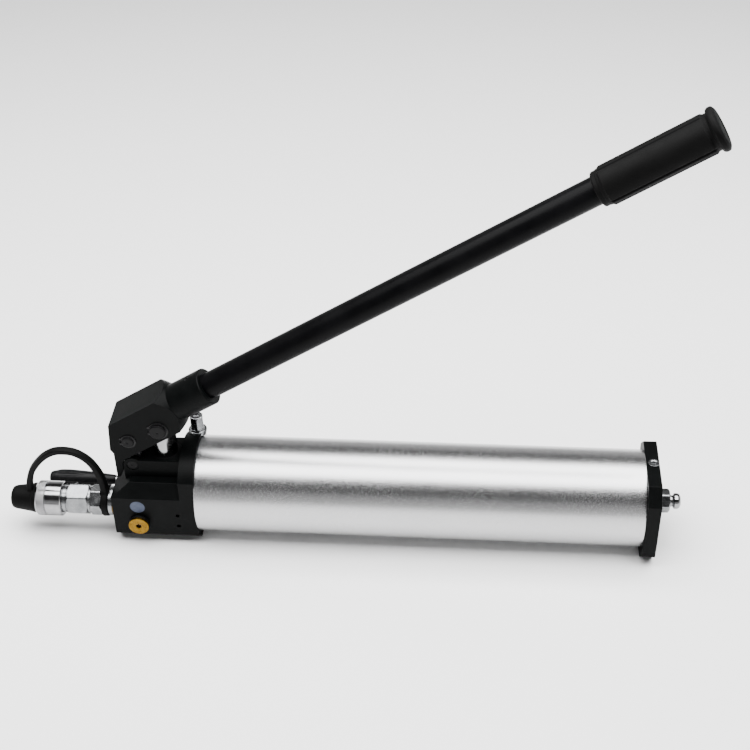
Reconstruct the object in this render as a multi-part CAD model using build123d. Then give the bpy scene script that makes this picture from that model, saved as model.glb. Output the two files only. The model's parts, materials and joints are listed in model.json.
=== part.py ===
from build123d import *
import math
import os

# A two-stage hydraulic hand pump. Millimetres, +X along the reservoir, +Z up.
# The origin is the centre of the head block's underside, which rests on the table.

# --- layout -----------------------------------------------------------------------------
AXIS_Z = 50.5                  # height of the reservoir's axis above the table
FACE_X = 44.0                  # the head's face that the reservoir stands against
TUBE_RADIUS = 50.0
TUBE_WALL = 4.0
TUBE_LENGTH = 456.0
LEVER_ANGLE = 32.6             # the raised lever's angle above the reservoir, degrees
PLUNGER_X = 10.0
PLUNGER_PIN_Z = 136.0
FULCRUM_PIN_XZ = (-22.5, 120.5)
LINK_PIN_XZ = (-22.0, 88.0)
OUTLET_YZ = (-20.0, 38.5)      # the outlet fitting's axis on the left face
RELEASE_YZ = (20.0, 31.0)      # the release valve's axis on the left face
RELIEF_XZ = (-17.0, 28.5)      # the brass relief plug's axis on the front face
PORT_PLUG_XZ = (-17.2, 49.6)
SUCTION_Z = 22.0

# --- head block ---------------------------------------------------------------------------
HEAD_HALF_WIDTH = 41.0
HEAD_TOP = 73.5
HEAD_CHAMFER = 12.2
LEFT_CUT_LENGTH = 19.0
COLLAR_RADIUS = 53.0
COLLAR_LENGTH = 16.0
SPIGOT_LENGTH = 14.0
SPIGOT_BORE_RADIUS = 38.0
TOWER_HALF_WIDTH = 19.5
TOWER_TOP = 94.5
LUG_RADIUS = 9.2
SLOT_HALF_WIDTH = 12.8
TOWER_SLOT_FLOOR = 77.5
EDGE_SOFTENING = 0.8

# --- plunger and its bores ------------------------------------------------------------------
ROD_RADIUS = 12.5
ROD_BORE_RADIUS = 12.56
PISTON_RADIUS = 6.0
PISTON_BORE_RADIUS = 6.05
ROD_STEP_Z = 52.0
PISTON_END_Z = 27.0
ROD_BORE_FLOOR = 32.0
PISTON_BORE_FLOOR = 7.0
GLAND_RADIUS = 16.0
GLAND_FLOOR = 70.0
PIN_2_RADIUS = 8.7
ROD_EYE_RADIUS = 10.0          # wider than its pin: the pin rolls in it through the stroke
PIN_1_RADIUS = 6.5
LINK_PIN_RADIUS = 6.0
RUNNING = 0.05                 # radial clearance of a turning or sliding fit
SEATED = 0.03                  # radial gap between parts that stand still in each other
SIDE_PLAY = 0.3

# --- end cap --------------------------------------------------------------------------------
CAP_THICKNESS = 13.7
CAP_WIDTH = 99.0
CAP_HEIGHT = 98.0
CAP_CHAMFER = 15.0
CAP_SCREW_X_OFFSET = 0.9       # the screw stands this far past the plate's middle
TIE_ROD_RADIUS = 6.0
TIE_ROD_Z = 48.0
WASHER_THICKNESS = 1.6
VENT_STEM_RADIUS = 3.0
TUBE_END_X = FACE_X + TUBE_LENGTH
CAP_OUTER_X = TUBE_END_X + CAP_THICKNESS
CAP_SCREW_X = TUBE_END_X + CAP_THICKNESS / 2 + CAP_SCREW_X_OFFSET

# --- lever ----------------------------------------------------------------------------------
LEVER_RISE = 9.0               # the lever's axis above the plunger pin
LEVER_RADIUS = 13.25
LEVER_WALL = 3.0
BLOCK_TOP = 30.3
BLOCK_BOTTOM = -13.0
BLOCK_LEFT_X = -40.5
CONE_END = 28.4                # where the block's corners have run out into the round socket
CONE_REACH = 120.0
SOCKET_RADIUS = 19.2
SOCKET_END = 68.0
SOCKET_FLOOR = 26.0
SLOT_TOP = 14.6
SLOT_RIGHT = 14.8
GRIP_START = 500.0
GRIP_END = 617.5
GRIP_RADIUS = 17.3
GRIP_RIB_RADIUS = 18.7
GRIP_RIBS = 12
GRIP_RIB_WIDTH = 4.4
GRIP_PLAIN_END = 12.0          # plain length beside the collar and beside the flange
GRIP_FLANGE_RADIUS = 20.8
GRIP_FLANGE_LENGTH = 7.5
GRIP_END_WALL = 6.0

# --- outlet fitting, from the head outwards ---------------------------------------------------
SEAL_RING_LENGTH = 2.2
SHOULDER_LENGTH = 4.6
STRAP_RING_LENGTH = 7.4
NUT_LENGTH = 11.8
GROOVE_LENGTH = 2.2
COUPLER_HEX_LENGTH = 22.0
COUPLER_NECK_LENGTH = 5.7
COLLAR_PLAIN_LENGTH = 17.0
COLLAR_KNURL_LENGTH = 10.9
DUST_CAP_LENGTH = 27.2
COUPLER_RADIUS = 18.3
COUPLER_MALE_RADIUS = 14.2
COUPLER_MALE_LENGTH = 22.5
COUPLER_BORE_RADIUS = 9.0
OIL_WAY_RADIUS = 2.6
NIPPLE_RADIUS = 8.4
STRAP_LEAN = 7.5               # the strap leans outwards, clear of the lever's heel, degrees
STRAP_FOOT_XH = (-133.8, 16.2)  # X, and height above the coupler's axis
STRAP_SHOULDER_XH = (-127.5, 41.0)
STRAP_CROWN_XH = (-89.5, 76.5)
STRAP_BEND_XH = (-61.5, 58.0)
STRAP_WIDTH = 8.0
STRAP_THICKNESS = 6.4
STRAP_EDGE_RADIUS = 1.6
STRAP_RING_RADIUS = 16.6

# --- small fittings -------------------------------------------------------------------------
FILLER_XY = (38.8, 27.5)
FILLER_SEAT_Z = 95.0
FILLER_TOP_Z = 118.5
FILLER_FLANGE_RADIUS = 9.6
RELIEF_SEAT_Y = -26.0
RELIEF_SHANK_END_Y = -36.0
OUTLET_SEAT_X = -14.0
INLET_SEAT_X = 37.0
KNOB_START_X = -55.0
KNOB_PIN_X = -96.0
NEEDLE_END_X = -104.0
SIDE_HOLES_XZ = ((23.7, 39.4), (23.7, 25.0))
SIDE_HOLE_RADIUS = 2.1

DIRECTION = (math.cos(math.radians(LEVER_ANGLE)), math.sin(math.radians(LEVER_ANGLE)))


def lever_point(along, above):
    """World X and Z of a point given along the lever and above the plunger pin."""
    x = PLUNGER_X + along * DIRECTION[0] - above * DIRECTION[1]
    z = PLUNGER_PIN_Z + along * DIRECTION[1] + above * DIRECTION[0]
    return x, z


def lever_axis_plane():
    """A plane whose normal runs along the lever's axis."""
    x, z = lever_point(0, LEVER_RISE)
    return Plane(origin=(x, 0, z), x_dir=(0, 1, 0), z_dir=(DIRECTION[0], 0, DIRECTION[1]))


def rod_x(radius, x0, x1, y=0.0, z=0.0):
    """A round bar along X."""
    return Pos((x0 + x1) / 2, y, z) * Rot(0, 90, 0) * Cylinder(radius, abs(x1 - x0))


def rod_y(radius, y0, y1, x, z):
    """A round bar along Y."""
    return Pos(x, (y0 + y1) / 2, z) * Rot(90, 0, 0) * Cylinder(radius, abs(y1 - y0))


def rod_z(radius, z0, z1, x, y=0.0):
    """A round bar along Z."""
    return Pos(x, y, (z0 + z1) / 2) * Cylinder(radius, abs(z1 - z0))


def rod_lever(radius, start, end):
    """A round bar along the lever's axis."""
    return lever_axis_plane() * (Pos(0, 0, (start + end) / 2) * Cylinder(radius, end - start))


def block(x0, x1, y0, y1, z0, z1):
    """A rectangular block between two corners."""
    return Pos((x0 + x1) / 2, (y0 + y1) / 2, (z0 + z1) / 2) * Box(x1 - x0, y1 - y0, z1 - z0)


def hexagon_x(across_flats, x0, x1, y, z, turn=0.0):
    """A hexagonal bar along X."""
    face = RegularPolygon(across_flats / math.sqrt(3), 6, rotation=turn)
    return Pos(x0, y, z) * Rot(0, 90, 0) * extrude(face, x1 - x0)


def hexagon_z(across_flats, z0, z1, x, y):
    """A hexagonal bar along Z."""
    face = RegularPolygon(across_flats / math.sqrt(3), 6)
    return Pos(x, y, z0) * extrude(face, z1 - z0)


def octagon(half_width, bottom, top, chamfer_size):
    """Corner points of a rectangle with its four corners cut."""
    return [
        (-half_width + chamfer_size, bottom),
        (half_width - chamfer_size, bottom),
        (half_width, bottom + chamfer_size),
        (half_width, top - chamfer_size),
        (half_width - chamfer_size, top),
        (-half_width + chamfer_size, top),
        (-half_width, top - chamfer_size),
        (-half_width, bottom + chamfer_size),
    ]


def prism_x(points, x0, x1):
    """A prism along X from points in Y and Z."""
    return Pos(x0, 0, 0) * extrude(Plane.YZ * Polygon(*points, align=None), x1 - x0)


def prism_y(points, half_width):
    """A prism across Y, on both sides of the middle plane, from points in X and Z."""
    return extrude(Plane.XZ * Polygon(*points, align=None), half_width, both=True)


def ring_x(mean_radius, section_radius, x, y=0.0, z=0.0):
    """An O-ring about an axis along X."""
    return Pos(x, y, z) * Rot(0, 90, 0) * Torus(mean_radius, section_radius)


def coil(radius, wire_radius, length, turns):
    """A compression spring standing on Z = 0, its end turns inside its length."""
    height = length - 2 * wire_radius
    path = Helix(height / turns, height, radius)
    section = Plane(path @ 0, z_dir=path % 0) * Circle(wire_radius)
    return Pos(0, 0, wire_radius) * sweep(section, path, is_frenet=True)


def coil_x(radius, wire_radius, x0, x1, turns, y, z):
    """A compression spring along X."""
    return Pos(x0, y, z) * Rot(0, 90, 0) * coil(radius, wire_radius, x1 - x0, turns)


def left_of_head(distance):
    """X of a station measured outwards from the head's left face."""
    return -FACE_X - distance


# Stations of the outlet fitting, worked out from its lengths.
SHOULDER_X = left_of_head(SEAL_RING_LENGTH)
RING_X = SHOULDER_X - SHOULDER_LENGTH
NUT_X = RING_X - STRAP_RING_LENGTH - 0.3
GROOVE_X = NUT_X - NUT_LENGTH
HEX_X = GROOVE_X - GROOVE_LENGTH
NECK_X = HEX_X - COUPLER_HEX_LENGTH
PLAIN_X = NECK_X - COUPLER_NECK_LENGTH
KNURL_X = PLAIN_X - COLLAR_PLAIN_LENGTH
MOUTH_X = KNURL_X - COLLAR_KNURL_LENGTH
DUST_CAP_X = MOUTH_X - DUST_CAP_LENGTH


def head_body():
    """The block, its tower, its round collar and the spigot that enters the reservoir."""
    body = prism_x(octagon(HEAD_HALF_WIDTH, 0, HEAD_TOP, HEAD_CHAMFER), -FACE_X, FACE_X)
    cut = prism_y(
        [
            (-FACE_X - 1, HEAD_TOP - HEAD_CHAMFER),
            (-FACE_X, HEAD_TOP - HEAD_CHAMFER),
            (-FACE_X + LEFT_CUT_LENGTH, HEAD_TOP),
            (-FACE_X + LEFT_CUT_LENGTH, HEAD_TOP + 1),
            (-FACE_X - 1, HEAD_TOP + 1),
        ],
        HEAD_HALF_WIDTH,
    )
    body = fillet((body - cut).edges(), EDGE_SOFTENING)
    tower_left = LINK_PIN_XZ[0] - LUG_RADIUS
    tower = block(
        LINK_PIN_XZ[0], FACE_X - 1, -TOWER_HALF_WIDTH, TOWER_HALF_WIDTH, 60, TOWER_TOP
    )
    tower += block(
        tower_left, LINK_PIN_XZ[0] + 1, -TOWER_HALF_WIDTH, TOWER_HALF_WIDTH, 60, LINK_PIN_XZ[1]
    )
    tower += rod_y(LUG_RADIUS, -TOWER_HALF_WIDTH, TOWER_HALF_WIDTH, *LINK_PIN_XZ)
    collar = rod_x(COLLAR_RADIUS, FACE_X - COLLAR_LENGTH, FACE_X, z=AXIS_Z)
    collar &= block(0, FACE_X, -HEAD_HALF_WIDTH, HEAD_HALF_WIDTH, 0, 2 * AXIS_Z + 10)
    spigot_radius = TUBE_RADIUS - TUBE_WALL - SEATED
    spigot = rod_x(spigot_radius, FACE_X - 1, FACE_X + SPIGOT_LENGTH, z=AXIS_Z)
    spigot -= rod_x(SPIGOT_BORE_RADIUS, FACE_X, FACE_X + SPIGOT_LENGTH, z=AXIS_Z)
    return body + tower + collar + spigot


def o_ring_groove(x):
    """The groove round a spigot that an O-ring lies in."""
    outer = rod_x(TUBE_RADIUS, x - 2, x + 2, z=AXIS_Z)
    return outer - rod_x(42.4, x - 2, x + 2, z=AXIS_Z)


def head_passages():
    """Everything that is drilled and bored out of the head."""
    outlet_y, outlet_z = OUTLET_YZ
    release_y, release_z = RELEASE_YZ
    relief_x, relief_z = RELIEF_XZ
    front = -HEAD_HALF_WIDTH
    gallery_z = 20
    holes = [
        rod_z(GLAND_RADIUS, GLAND_FLOOR, TOWER_TOP, PLUNGER_X),
        rod_z(ROD_BORE_RADIUS, ROD_BORE_FLOOR, GLAND_FLOOR, PLUNGER_X),
        rod_z(PISTON_BORE_RADIUS, PISTON_BORE_FLOOR, ROD_BORE_FLOOR, PLUNGER_X),
        rod_x(NIPPLE_RADIUS + SEATED, -FACE_X, -30, outlet_y, outlet_z),
        rod_x(4, -30, OUTLET_SEAT_X, outlet_y, outlet_z),
        rod_x(2, OUTLET_SEAT_X, PLUNGER_X, outlet_y, outlet_z),
        rod_z(2, gallery_z, outlet_z, PLUNGER_X, outlet_y),
        rod_y(2, outlet_y, 0, PLUNGER_X, gallery_z),
        rod_x(8, -FACE_X, -26, release_y, release_z),
        rod_x(1.5, -26, PLUNGER_X, release_y, release_z),
        rod_y(6.5, front, RELIEF_SEAT_Y, *RELIEF_XZ),
        rod_y(1.8, RELIEF_SEAT_Y, outlet_y, *RELIEF_XZ),
        rod_z(1.8, relief_z, outlet_z, relief_x, outlet_y),
        rod_y(7.8, front, front + 6, *PORT_PLUG_XZ),
        rod_x(5, 26, FACE_X, 0, SUCTION_Z),
        rod_x(2.5, PLUNGER_X, 26, 0, SUCTION_Z),
        rod_x(TIE_ROD_RADIUS + SEATED, 30, FACE_X, 0, TIE_ROD_Z),
        rod_z(4, 60, 110, *FILLER_XY),
        rod_z(FILLER_FLANGE_RADIUS + 0.4, FILLER_SEAT_Z, 110, *FILLER_XY),
        rod_y(LINK_PIN_RADIUS + SEATED, -TOWER_HALF_WIDTH, TOWER_HALF_WIDTH, *LINK_PIN_XZ),
        block(-60, -11.4, -SLOT_HALF_WIDTH, SLOT_HALF_WIDTH, TOWER_SLOT_FLOOR, 110),
        o_ring_groove(FACE_X + 7),
    ]
    holes += [rod_y(SIDE_HOLE_RADIUS, front, front + 9, x, z) for x, z in SIDE_HOLES_XZ]
    return holes


def pump_head():
    """The black head block with all its bores."""
    body = head_body()
    for hole in head_passages():
        body -= hole
    return body


def reservoir_tube():
    """The aluminium tube that holds the oil."""
    tube = rod_x(TUBE_RADIUS, FACE_X, TUBE_END_X, z=AXIS_Z)
    return tube - rod_x(TUBE_RADIUS - TUBE_WALL, FACE_X, TUBE_END_X, z=AXIS_Z)


def end_cap():
    """The square plate with cut corners that closes the far end."""
    plate = prism_x(octagon(CAP_WIDTH / 2, 0, CAP_HEIGHT, CAP_CHAMFER), TUBE_END_X, CAP_OUTER_X)
    plate = fillet(plate.edges(), EDGE_SOFTENING)
    spigot = rod_x(
        TUBE_RADIUS - TUBE_WALL - SEATED, TUBE_END_X - SPIGOT_LENGTH, TUBE_END_X + 1, z=AXIS_Z
    )
    spigot -= rod_x(SPIGOT_BORE_RADIUS, TUBE_END_X - SPIGOT_LENGTH, TUBE_END_X, z=AXIS_Z)
    cap = plate + spigot
    cap -= o_ring_groove(TUBE_END_X - 7)
    cap -= rod_x(TIE_ROD_RADIUS + 0.3, TUBE_END_X, CAP_OUTER_X, z=TIE_ROD_Z)
    cap -= rod_z(3.03, CAP_HEIGHT - 14, CAP_HEIGHT, CAP_SCREW_X)
    return cap - rod_z(5.6, CAP_HEIGHT - 4, CAP_HEIGHT, CAP_SCREW_X)


def socket_screw_z(x, y, seat_z, head_radius, head_height, shank_radius, shank_length):
    """A socket-head screw standing upright."""
    screw = rod_z(head_radius, seat_z, seat_z + head_height, x, y)
    screw = chamfer(screw.edges().group_by(Axis.Z)[-1], 0.5)
    screw += rod_z(shank_radius, seat_z - shank_length, seat_z + 0.5, x, y)
    return screw - hexagon_z(head_radius, seat_z + head_height * 0.35, seat_z + head_height, x, y)


def cap_screw():
    """The vent screw in the top edge of the end cap."""
    return socket_screw_z(CAP_SCREW_X, 0, CAP_HEIGHT - 4 + SEATED, 5.5, 5.4, 3, 9)


def tie_rod():
    """The rod that pulls the end cap and the reservoir against the head."""
    end = CAP_OUTER_X + 14
    rod = rod_x(TIE_ROD_RADIUS, 30.5, end, z=TIE_ROD_Z)
    return rod - rod_x(VENT_STEM_RADIUS + RUNNING, end - 10, end, z=TIE_ROD_Z)


def end_nut():
    """The hexagon nut on the end of the tie rod."""
    start = CAP_OUTER_X + WASHER_THICKNESS
    end = CAP_OUTER_X + 15
    nut = hexagon_x(22, start, end, 0, TIE_ROD_Z, turn=22)
    nut &= chamfer(rod_x(12.2, start, end, 0, TIE_ROD_Z).edges(), 0.9)
    return nut - rod_x(TIE_ROD_RADIUS + SEATED, start, end, 0, TIE_ROD_Z)


def end_washer():
    """The sealing washer between the nut and the end cap."""
    end = CAP_OUTER_X + WASHER_THICKNESS
    washer = rod_x(12.6, CAP_OUTER_X, end, 0, TIE_ROD_Z)
    return washer - rod_x(TIE_ROD_RADIUS + 0.2, CAP_OUTER_X, end, 0, TIE_ROD_Z)


def vent_cap():
    """The small domed vent nipple that screws into the end of the tie rod."""
    profile = [
        (0, -9), (VENT_STEM_RADIUS, -9), (VENT_STEM_RADIUS, 0), (5.6, 0), (5.6, 2.6), (8.2, 3.6),
        (8.4, 6.6), (7.2, 9.2), (4.6, 11.2), (0, 11.2),
    ]
    dome = revolve(Plane.XZ * Polygon(*profile, align=None), Axis.Z)
    return Pos(CAP_OUTER_X + 15.3, 0, TIE_ROD_Z) * Rot(0, 90, 0) * dome


def suction_pieces():
    """The inlet valve in the head, and the pipe and strainer that reach into the oil."""
    seat_end = INLET_SEAT_X + 4
    seat = rod_x(5 - SEATED, INLET_SEAT_X, seat_end, 0, SUCTION_Z)
    seat -= rod_x(2.4, INLET_SEAT_X, seat_end, 0, SUCTION_Z)
    pipe = rod_x(5 - SEATED, seat_end, 62, 0, SUCTION_Z)
    pipe -= rod_x(3, seat_end, 60, 0, SUCTION_Z) + rod_x(1.2, 60, 62, 0, SUCTION_Z)
    strainer = rod_x(8, 62, 92, 0, SUCTION_Z) - rod_x(6.8, 62, 90.5, 0, SUCTION_Z)
    return {
        "inlet_seat": seat,
        "inlet_ball": Pos(INLET_SEAT_X - 2, 0, SUCTION_Z) * Sphere(3.1),
        "inlet_spring": coil_x(3.0, 0.4, 26.1, INLET_SEAT_X - 3.5, 4, 0, SUCTION_Z),
        "suction_pipe": pipe,
        "suction_strainer": strainer,
    }


def gland_pieces():
    """What guides and seals the plunger in the tower."""
    bush = rod_z(GLAND_RADIUS - SEATED, GLAND_FLOOR + 6, TOWER_TOP - 5, PLUNGER_X)
    bush -= rod_z(ROD_RADIUS + RUNNING, GLAND_FLOOR, TOWER_TOP, PLUNGER_X)
    seal = rod_z(GLAND_RADIUS - SEATED, GLAND_FLOOR, GLAND_FLOOR + 5.8, PLUNGER_X)
    seal -= rod_z(ROD_RADIUS + RUNNING, GLAND_FLOOR, TOWER_TOP, PLUNGER_X)
    wiper = rod_z(GLAND_RADIUS - SEATED, TOWER_TOP - 4.8, TOWER_TOP - 0.4, PLUNGER_X)
    wiper -= rod_z(ROD_RADIUS + RUNNING, GLAND_FLOOR, TOWER_TOP, PLUNGER_X)
    return {"rod_guide_bush": bush, "rod_seal": seal, "rod_wiper": wiper}


def plunger():
    """The stepped plunger: a thick low-pressure rod over a thin high-pressure piston."""
    rod = rod_z(ROD_RADIUS, ROD_STEP_Z, PLUNGER_PIN_Z, PLUNGER_X)
    eye = rod_y(ROD_RADIUS, -ROD_RADIUS, ROD_RADIUS, PLUNGER_X, PLUNGER_PIN_Z)
    eye &= rod_z(ROD_RADIUS, PLUNGER_PIN_Z - 20, PLUNGER_PIN_Z + 20, PLUNGER_X)
    piston = rod_z(PISTON_RADIUS, PISTON_END_Z, ROD_STEP_Z + 1, PLUNGER_X)
    body = rod + eye + piston
    body -= rod_y(ROD_EYE_RADIUS, -ROD_RADIUS, ROD_RADIUS, PLUNGER_X, PLUNGER_PIN_Z)
    groove = rod_z(PISTON_RADIUS, PISTON_END_Z + 3, PISTON_END_Z + 5.4, PLUNGER_X)
    groove -= rod_z(4.6, PISTON_END_Z + 3, PISTON_END_Z + 5.4, PLUNGER_X)
    return body - groove


def piston_ring():
    """The seal in the high-pressure piston's groove."""
    ring = rod_z(PISTON_RADIUS, PISTON_END_Z + 3.1, PISTON_END_Z + 5.3, PLUNGER_X)
    return ring - rod_z(4.6 + SEATED, PISTON_END_Z + 3.1, PISTON_END_Z + 5.3, PLUNGER_X)


def outlet_nipple():
    """The steel nipple that screws into the head and carries the coupler."""
    y, z = OUTLET_YZ
    nut = hexagon_x(28.0, GROOVE_X, NUT_X, y, z, turn=15)
    nipple = nut & chamfer(rod_x(15.8, GROOVE_X, NUT_X, y, z).edges(), 1.2)
    nipple += rod_x(15.5, RING_X, SHOULDER_X, y, z)
    nipple += rod_x(NIPPLE_RADIUS, NUT_X - 1, -30, y, z)
    nipple -= rod_x(OIL_WAY_RADIUS, GROOVE_X, -33, y, z)
    return nipple - rod_x(4, -33, -30, y, z)


def coupler_body():
    """The fixed half of the hose coupler: a hexagon with a male end inside the collar."""
    y, z = OUTLET_YZ
    mouth = PLAIN_X - COUPLER_MALE_LENGTH
    body = hexagon_x(29.8, NECK_X, HEX_X, y, z, turn=44)
    body &= chamfer(rod_x(16.8, NECK_X, HEX_X, y, z).edges(), 1.0)
    body += rod_x(14.0, HEX_X - 1, GROOVE_X, y, z)
    body += rod_x(COUPLER_MALE_RADIUS, mouth, NECK_X + 1, y, z)
    body -= rod_x(COUPLER_BORE_RADIUS, mouth, HEX_X - 2, y, z)
    return body - rod_x(OIL_WAY_RADIUS, HEX_X - 3, GROOVE_X, y, z)


def coupler_poppet():
    """The valve that shuts the coupler while no hose is on it."""
    y, z = OUTLET_YZ
    poppet = rod_x(COUPLER_BORE_RADIUS - RUNNING, PLAIN_X - 22, PLAIN_X - 16, y, z)
    return poppet + rod_x(3, PLAIN_X - 17, NECK_X, y, z)


def coupler_collar():
    """The threaded locking collar, plain next to the body and knurled at the mouth."""
    y, z = OUTLET_YZ
    collar = rod_x(COUPLER_RADIUS, MOUTH_X, PLAIN_X, y, z)
    collar = chamfer(collar.edges().sort_by(Axis.X)[0], 2.2)
    collar = chamfer(collar.edges().sort_by(Axis.X)[-1], 1.0)
    collar -= rod_x(COUPLER_MALE_RADIUS + SIDE_PLAY, MOUTH_X, PLAIN_X, y, z)
    groove = rod_x(COUPLER_RADIUS, KNURL_X - 0.6, KNURL_X + 0.6, y, z)
    return collar - (groove - rod_x(COUPLER_RADIUS - 0.7, KNURL_X - 1, KNURL_X + 1, y, z))


def outlet_pieces():
    """The outlet valve in the head and the hose coupler outside it."""
    y, z = OUTLET_YZ
    ring_way = rod_x(NIPPLE_RADIUS + 0.2, RING_X, -FACE_X, y, z)
    spring_end = OUTLET_SEAT_X - 3.6
    return {
        "outlet_ball": Pos(OUTLET_SEAT_X - 2.3, y, z) * Sphere(3.0),
        "outlet_spring": coil_x(3.0, 0.4, -32.9, spring_end, 6, y, z),
        "outlet_seal_ring": rod_x(15.2, SHOULDER_X, -FACE_X, y, z) - ring_way,
        "outlet_nipple": outlet_nipple(),
        "coupler_body": coupler_body(),
        "coupler_poppet": coupler_poppet(),
        "coupler_spring": coil_x(5.0, 0.6, PLAIN_X - 15.9, HEX_X - 2.2, 8, y, z),
        "coupler_collar": coupler_collar(),
    }


def dust_cap():
    """The rubber cap that plugs the coupler's mouth."""
    y, z = OUTLET_YZ
    length = DUST_CAP_LENGTH - 0.3
    plug_radius = COUPLER_MALE_RADIUS - 0.2
    profile = [
        (0, 0), (8.5, 0), (11.2, 1.2), (12.2, 3.6), (15.6, length - 3), (15.6, length),
        (plug_radius, length), (plug_radius, length + 4.5), (0, length + 4.5),
    ]
    cap = revolve(Plane.XZ * Polygon(*profile, align=None), Axis.Z)
    return Pos(DUST_CAP_X, y, z) * Rot(0, 90, 0) * cap


def cap_strap():
    """The rubber strap: a ring on the nipple and an arch that reaches back to the dust cap."""
    ring_middle = RING_X - STRAP_RING_LENGTH / 2
    stations = (
        STRAP_FOOT_XH, STRAP_SHOULDER_XH, STRAP_CROWN_XH, STRAP_BEND_XH,
        (ring_middle, STRAP_RING_RADIUS - 1),
    )
    path = Spline(*[(x, 0, height) for x, height in stations], tangents=((0, 0, 1), (0, 0, -1)))
    section = Plane(path @ 0, x_dir=(0, 1, 0), z_dir=path % 0)
    section *= RectangleRounded(STRAP_WIDTH, STRAP_THICKNESS, STRAP_EDGE_RADIUS)
    ring = rod_x(STRAP_RING_RADIUS, RING_X - STRAP_RING_LENGTH, RING_X)
    strap = sweep(section, path) + ring
    strap -= rod_x(NIPPLE_RADIUS + 0.2, RING_X - STRAP_RING_LENGTH, RING_X)
    return Pos(0, *OUTLET_YZ) * Rot(STRAP_LEAN, 0, 0) * strap


def release_knob():
    """The long fluted knob of the release valve."""
    y, z = RELEASE_YZ
    bore = 4.0 + SEATED
    bore_depth = KNOB_START_X - NEEDLE_END_X + 0.2
    profile = [
        (bore, 0), (4.8, 0), (5.4, 3), (7.9, 27), (9.2, 50), (9.0, 60), (6.8, 70), (5.0, 71.5),
        (0, 71.5), (0, bore_depth), (bore, bore_depth),
    ]
    knob = revolve(Plane.XZ * Polygon(*profile, align=None), Axis.Z)
    flutes = 8
    for step in range(flutes):
        angle = 2 * math.pi * (step + 0.5) / flutes
        flute = Cylinder(3.0, 80, align=(Align.CENTER, Align.CENTER, Align.MIN))
        knob -= Pos(11.0 * math.cos(angle), 11.0 * math.sin(angle), 22) * flute
    knob = Pos(KNOB_START_X, y, z) * Rot(0, -90, 0) * knob
    return knob - rod_y(2.0 + SEATED, y - 12, y + 12, KNOB_PIN_X, z)


def release_pieces():
    """The release valve: a steel gland on the head, and the needle, knob and pin that turn."""
    y, z = RELEASE_YZ
    gland = rod_x(8 - SEATED, -FACE_X, -30, y, z)
    gland += hexagon_x(17, left_of_head(8), -FACE_X, y, z)
    gland -= rod_x(4.0 + RUNNING, left_of_head(8), -30, y, z)
    needle = rod_x(4.0, NEEDLE_END_X, -30.2, y, z)
    needle += Pos(-28.4, y, z) * Rot(0, 90, 0) * Cone(4.0, 1.0, 3.6)
    needle -= rod_y(2.0 + SEATED, y - 5, y + 5, KNOB_PIN_X, z)
    return {
        "release_gland": gland,
        "release_needle": needle,
        "release_knob": release_knob(),
        "release_knob_pin": rod_y(2.0, y - 10.2, y + 10.2, KNOB_PIN_X, z),
    }


def relief_pieces():
    """The relief valve behind the brass plug, and the flush plug above it."""
    x, z = RELIEF_XZ
    front = -HEAD_HALF_WIDTH
    plug = chamfer(rod_y(10.5, front - 6.5, front, x, z).edges(), 0.6)
    plug += rod_y(6.5 - SEATED, front - 1, RELIEF_SHANK_END_Y, x, z)
    plug -= Pos(x, front - 6.5, z) * Rot(90, 0, 0) * extrude(RegularPolygon(3.2, 6), -4.5)
    nose_tip = RELIEF_SEAT_Y + 0.9
    poppet = Pos(x, nose_tip - 1.5, z) * Rot(90, 0, 0) * Cone(1.2, 2.8, 3)
    poppet += rod_y(5.5, nose_tip - 4.5, nose_tip - 3, x, z)
    spring_length = nose_tip - 4.6 - RELIEF_SHANK_END_Y - 0.1
    spring = Rot(90, 0, 0) * coil(4.4, 0.7, spring_length, 3)
    port_plug = rod_y(7.8 - SEATED, front + 0.3, front + 6, *PORT_PLUG_XZ)
    return {
        "relief_plug": plug,
        "relief_poppet": poppet,
        "relief_spring": Pos(x, nose_tip - 4.6, z) * spring,
        "port_plug": port_plug,
    }


def filler_pieces():
    """The filler fitting that stands on the head's collar."""
    x, y = FILLER_XY
    seat = FILLER_SEAT_Z
    washer = rod_z(6.9, seat, seat + 1.5, x, y) - rod_z(4.2, seat, seat + 1.5, x, y)
    fitting = rod_z(4 - SEATED, seat - 12, seat + 2, x, y)
    fitting += rod_z(6.6, seat + 1.5, seat + 6, x, y)
    fitting += chamfer(rod_z(FILLER_FLANGE_RADIUS, seat + 2.3, seat + 5.3, x, y).edges(), 0.5)
    rounding = chamfer(rod_z(7.3, seat + 5, FILLER_TOP_Z, x, y).edges(), 0.8)
    fitting += hexagon_z(13, seat + 5, FILLER_TOP_Z, x, y) & rounding
    return {"filler_washer": washer, "filler_plug": fitting}


def fulcrum_link():
    """The short link that lets the lever's fulcrum swing as the plunger goes straight."""
    low_x, low_z = LINK_PIN_XZ
    high_x, high_z = FULCRUM_PIN_XZ
    half = ROD_RADIUS
    link = rod_y(9.0, -half, half, low_x, low_z) + rod_y(9.0, -half, half, high_x, high_z)
    middle = block(low_x - 7.5, low_x + 7.5, -half, half, low_z, high_z)
    link += middle
    link -= rod_y(LINK_PIN_RADIUS + RUNNING, -half, half, low_x, low_z)
    link -= rod_y(PIN_1_RADIUS + RUNNING, -half, half, high_x, high_z)
    return link


def lever_block_outline():
    """Side view of the lever block at rest, in X and Z, without the heel's inner curve."""
    top_left = (BLOCK_LEFT_X - PLUNGER_X + BLOCK_TOP * DIRECTION[1]) / DIRECTION[0]
    link_x, link_z = LINK_PIN_XZ
    return [
        lever_point(top_left, BLOCK_TOP),
        lever_point(32, BLOCK_TOP),
        lever_point(32, BLOCK_BOTTOM),
        lever_point(-46.0, BLOCK_BOTTOM),
        (link_x - LUG_RADIUS - 1.0, link_z),
        (link_x - LUG_RADIUS - 1.0, 80),
        (-36.2, 72),
        (-39.5, 71),
        (-39.5, 103.5),
        (-42.6, 108),
    ]


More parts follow.
